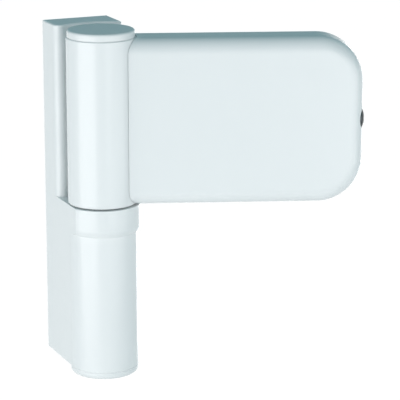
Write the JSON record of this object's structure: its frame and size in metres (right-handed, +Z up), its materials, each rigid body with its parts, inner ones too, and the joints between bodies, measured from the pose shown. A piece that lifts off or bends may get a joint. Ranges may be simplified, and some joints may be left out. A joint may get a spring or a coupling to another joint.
{
  "type": "screw-on door hinge",
  "caption": "Screw-on door hinge with a tall frame leaf, a cylindrical knuckle and a rounded sash leaf, adjustable in height and to the side.",
  "frame": {"origin": "middle of the frame leaf's mounting face, on the vertical line through the hinge axis", "axes": "+X along the mounting face towards the door, +Y into the door frame, +Z up along the hinge axis"},
  "size_m": [0.0857, 0.0643, 0.1066],
  "materials": {
    "white_aluminium": "satin",
    "white_plastic": "satin",
    "bearing_plastic": "matte",
    "zinc_steel": "satin",
    "dark_steel": "satin",
    "brass": "satin"
  },
  "bodies": {
    "frame": {"frame_leaf": "white_aluminium", "carrier_pins": "zinc_steel", "foot_bush": "bearing_plastic", "shelf_bush": "bearing_plastic", "lift_insert": "brass", "lock_screw": "zinc_steel", "bottom_cap": "white_plastic"},
    "lift": {"hinge_pin": "zinc_steel"},
    "height_screw": {"height_screw": "zinc_steel"},
    "sash": {"sash_arm": "white_aluminium", "sash_foot_bush": "bearing_plastic", "sash_head_bush": "bearing_plastic", "thrust_disc": "bearing_plastic", "knuckle_plug": "zinc_steel", "top_cap": "white_plastic", "leaf_cover": "white_aluminium"},
    "plate": {"base_plate": "zinc_steel", "clamp_screws": "zinc_steel", "clamp_washers": "zinc_steel"},
    "side_screw": {"side_screw": "dark_steel", "screw_clip": "dark_steel"}
  },
  "joints": [
    {"name": "height_adjust", "type": "slide", "parent": "frame", "child": "lift", "axis": [0, 0, 1], "range_m": [0, 0.004]},
    {"name": "height_screw_turn", "type": "hinge", "parent": "lift", "child": "height_screw", "pos_m": [0, -0.022, -0.0436], "axis": [0, 0, 1], "range_deg": [0, 962]},
    {"name": "door_swing", "type": "hinge", "parent": "lift", "child": "sash", "pos_m": [0, -0.022, 0.0246], "axis": [0, 0, -1], "range_deg": [-20, 160]},
    {"name": "side_adjust", "type": "slide", "parent": "sash", "child": "plate", "axis": [0.9397, -0.342, 0], "range_m": [-0.003, 0.003]},
    {"name": "side_screw_turn", "type": "hinge", "parent": "sash", "child": "side_screw", "pos_m": [0.06154, -0.04589, 0.0246], "axis": [0.9397, -0.342, 0], "range_deg": [-1082, 1082]}
  ],
  "couplings": [
    {"joint": "height_screw_turn", "follows": "height_adjust", "rad_per_m": 4188.8},
    {"joint": "side_screw_turn", "follows": "side_adjust", "rad_per_m": -6283.2}
  ]
}
